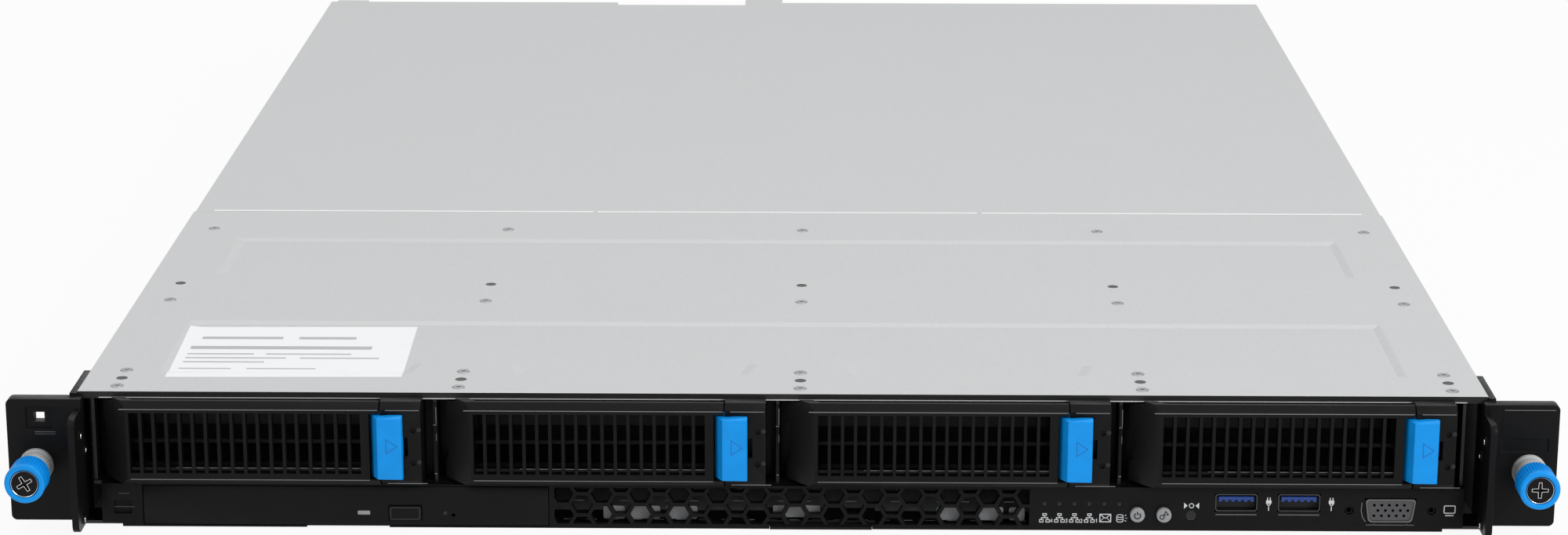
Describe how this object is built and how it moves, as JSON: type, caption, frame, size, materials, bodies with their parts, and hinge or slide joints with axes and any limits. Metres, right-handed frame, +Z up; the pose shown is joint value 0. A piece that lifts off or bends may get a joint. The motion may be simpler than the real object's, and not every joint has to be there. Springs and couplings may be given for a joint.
{
  "type": "1u rack server",
  "caption": "Flat rack server with hot-swap drive trays, slim disc drive, perforated front, rack ears with thumbscrews, fans, boards and a removable power supply.",
  "frame": {"origin": "underside, midway between the sides, in the plane of the rack ears' rear faces", "axes": "+X to the right seen from the front, +Y to the rear, +Z up"},
  "size_m": [0.4826, 0.6635, 0.0439],
  "materials": {
    "galvanised_steel": "zinc-plated sheet steel",
    "cover_steel": "pale grey coated sheet steel",
    "black_paint": "satin black paint on metal",
    "black_plastic": "fine-textured black plastic",
    "blue_plastic": "satin blue plastic",
    "polished_steel": "bright nickel-plated steel",
    "rivet_steel": "plated steel",
    "drive_aluminium": "cast aluminium with steel lid",
    "circuit_board": "green solder mask",
    "connector_black": "moulded black",
    "grey_plastic": "satin grey plastic",
    "clear_plastic": "clear moulded plastic",
    "connector_blue": "moulded blue",
    "sink_aluminium": "extruded aluminium",
    "duct_plastic": "black plastic"
  },
  "bodies": {
    "chassis": {"chassis_base": "galvanised_steel", "front_top_cover": "cover_steel", "cover_rivets": "rivet_steel", "drive_cage": "galvanised_steel", "left_rack_ear": "black_paint", "right_rack_ear": "black_paint", "screw_collars": "polished_steel", "front_panel": "black_paint", "front_grille": "black_paint", "optical_drive": "galvanised_steel", "light_pipes": "clear_plastic", "front_io_board": "circuit_board", "usb_ports": "polished_steel", "vga_port": "connector_blue", "backplane": "circuit_board", "rear_wall": "galvanised_steel", "fan_bracket": "galvanised_steel", "fan_housings": "connector_black", "motherboard": "circuit_board", "board_sockets": "connector_black", "memory_modules": "circuit_board", "heatsink": "sink_aluminium", "air_duct": "duct_plastic", "rear_ports": "polished_steel", "rear_blanks": "galvanised_steel", "power_board": "circuit_board"},
    "rear_cover": {"rear_cover": "cover_steel"},
    "cover_screw": {"cover_thumbscrew": "polished_steel"},
    "left_thumbscrew": {"left_knob": "blue_plastic", "left_screw": "polished_steel"},
    "right_thumbscrew": {"right_knob": "blue_plastic", "right_screw": "polished_steel"},
    "disc_drawer": {"disc_tray": "black_plastic"},
    "eject": {"eject_button": "grey_plastic"},
    "power_key": {"power_button": "grey_plastic"},
    "locator_key": {"locator_button": "grey_plastic"},
    "tag": {"information_tag": "black_plastic"},
    "tray_1": {"tray_frame_1": "black_plastic", "hard_drive_1": "drive_aluminium"},
    "lever_1": {"tray_lever_1": "black_plastic"},
    "latch_1": {"tray_latch_1": "blue_plastic"},
    "tray_2": {"tray_frame_2": "black_plastic", "hard_drive_2": "drive_aluminium"},
    "lever_2": {"tray_lever_2": "black_plastic"},
    "latch_2": {"tray_latch_2": "blue_plastic"},
    "tray_3": {"tray_frame_3": "black_plastic", "hard_drive_3": "drive_aluminium"},
    "lever_3": {"tray_lever_3": "black_plastic"},
    "latch_3": {"tray_latch_3": "blue_plastic"},
    "tray_4": {"tray_frame_4": "black_plastic", "hard_drive_4": "drive_aluminium"},
    "lever_4": {"tray_lever_4": "black_plastic"},
    "latch_4": {"tray_latch_4": "blue_plastic"},
    "fan_1": {"fan_rotor_1": "connector_black"},
    "fan_2": {"fan_rotor_2": "connector_black"},
    "fan_3": {"fan_rotor_3": "connector_black"},
    "fan_4": {"fan_rotor_4": "connector_black"},
    "fan_5": {"fan_rotor_5": "connector_black"},
    "supply": {"power_supply": "galvanised_steel"},
    "supply_tab": {"supply_release": "blue_plastic"}
  },
  "joints": [
    {"name": "rear_cover_slide", "type": "slide", "parent": "chassis", "child": "rear_cover", "axis": [0, 1, 0], "range_m": [0, 0.012]},
    {"name": "cover_screw_turn", "type": "hinge", "parent": "rear_cover", "child": "cover_screw", "pos_m": [-0.0142, 0.6164, 0.0345], "axis": [0, 1, 0], "continuous": true},
    {"name": "left_thumbscrew_turn", "type": "hinge", "parent": "chassis", "child": "left_thumbscrew", "pos_m": [-0.23255, -0.0048, 0.021], "axis": [0, 1, 0], "continuous": true},
    {"name": "right_thumbscrew_turn", "type": "hinge", "parent": "chassis", "child": "right_thumbscrew", "pos_m": [0.23255, -0.0048, 0.021], "axis": [0, 1, 0], "continuous": true},
    {"name": "disc_drawer_slide", "type": "slide", "parent": "chassis", "child": "disc_drawer", "axis": [0, -1, 0], "range_m": [0, 0.112]},
    {"name": "eject_press", "type": "slide", "parent": "disc_drawer", "child": "eject", "axis": [0, 1, 0], "range_m": [0, 0.0008], "stiffness_N_per_m": 150},
    {"name": "power_press", "type": "slide", "parent": "chassis", "child": "power_key", "axis": [0, 1, 0], "range_m": [0, 0.0008], "stiffness_N_per_m": 150},
    {"name": "locator_press", "type": "slide", "parent": "chassis", "child": "locator_key", "axis": [0, 1, 0], "range_m": [0, 0.0008], "stiffness_N_per_m": 150},
    {"name": "tag_slide", "type": "slide", "parent": "chassis", "child": "tag", "axis": [0, -1, 0], "range_m": [0, 0.06]},
    {"name": "tray_1_slide", "type": "slide", "parent": "chassis", "child": "tray_1", "axis": [0, -1, 0], "range_m": [0, 0.18]},
    {"name": "lever_1_swing", "type": "hinge", "parent": "tray_1", "child": "lever_1", "pos_m": [-0.2081, 0.001, 0.028], "axis": [0, 0, -1], "range_deg": [0, 55]},
    {"name": "latch_1_slide", "type": "slide", "parent": "tray_1", "child": "latch_1", "axis": [1, 0, 0], "range_m": [0, 0.0034], "stiffness_N_per_m": 200},
    {"name": "tray_2_slide", "type": "slide", "parent": "chassis", "child": "tray_2", "axis": [0, -1, 0], "range_m": [0, 0.18]},
    {"name": "lever_2_swing", "type": "hinge", "parent": "tray_2", "child": "lever_2", "pos_m": [-0.1011, 0.001, 0.028], "axis": [0, 0, -1], "range_deg": [0, 55]},
    {"name": "latch_2_slide", "type": "slide", "parent": "tray_2", "child": "latch_2", "axis": [1, 0, 0], "range_m": [0, 0.0034], "stiffness_N_per_m": 200},
    {"name": "tray_3_slide", "type": "slide", "parent": "chassis", "child": "tray_3", "axis": [0, -1, 0], "range_m": [0, 0.18]},
    {"name": "lever_3_swing", "type": "hinge", "parent": "tray_3", "child": "lever_3", "pos_m": [0.0059, 0.001, 0.028], "axis": [0, 0, -1], "range_deg": [0, 55]},
    {"name": "latch_3_slide", "type": "slide", "parent": "tray_3", "child": "latch_3", "axis": [1, 0, 0], "range_m": [0, 0.0034], "stiffness_N_per_m": 200},
    {"name": "tray_4_slide", "type": "slide", "parent": "chassis", "child": "tray_4", "axis": [0, -1, 0], "range_m": [0, 0.18]},
    {"name": "lever_4_swing", "type": "hinge", "parent": "tray_4", "child": "lever_4", "pos_m": [0.1129, 0.001, 0.028], "axis": [0, 0, -1], "range_deg": [0, 55]},
    {"name": "latch_4_slide", "type": "slide", "parent": "tray_4", "child": "latch_4", "axis": [1, 0, 0], "range_m": [0, 0.0034], "stiffness_N_per_m": 200},
    {"name": "fan_1_spin", "type": "hinge", "parent": "chassis", "child": "fan_1", "pos_m": [-0.168, 0.245, 0.022], "axis": [0, 1, 0], "continuous": true},
    {"name": "fan_2_spin", "type": "hinge", "parent": "chassis", "child": "fan_2", "pos_m": [-0.084, 0.245, 0.022], "axis": [0, 1, 0], "continuous": true},
    {"name": "fan_3_spin", "type": "hinge", "parent": "chassis", "child": "fan_3", "pos_m": [0, 0.245, 0.022], "axis": [0, 1, 0], "continuous": true},
    {"name": "fan_4_spin", "type": "hinge", "parent": "chassis", "child": "fan_4", "pos_m": [0.084, 0.245, 0.022], "axis": [0, 1, 0], "continuous": true},
    {"name": "fan_5_spin", "type": "hinge", "parent": "chassis", "child": "fan_5", "pos_m": [0.168, 0.245, 0.022], "axis": [0, 1, 0], "continuous": true},
    {"name": "supply_slide", "type": "slide", "parent": "chassis", "child": "supply", "axis": [0, 1, 0], "range_m": [0, 0.19]},
    {"name": "supply_tab_slide", "type": "slide", "parent": "supply", "child": "supply_tab", "axis": [1, 0, 0], "range_m": [0, 0.003], "stiffness_N_per_m": 200}
  ]
}
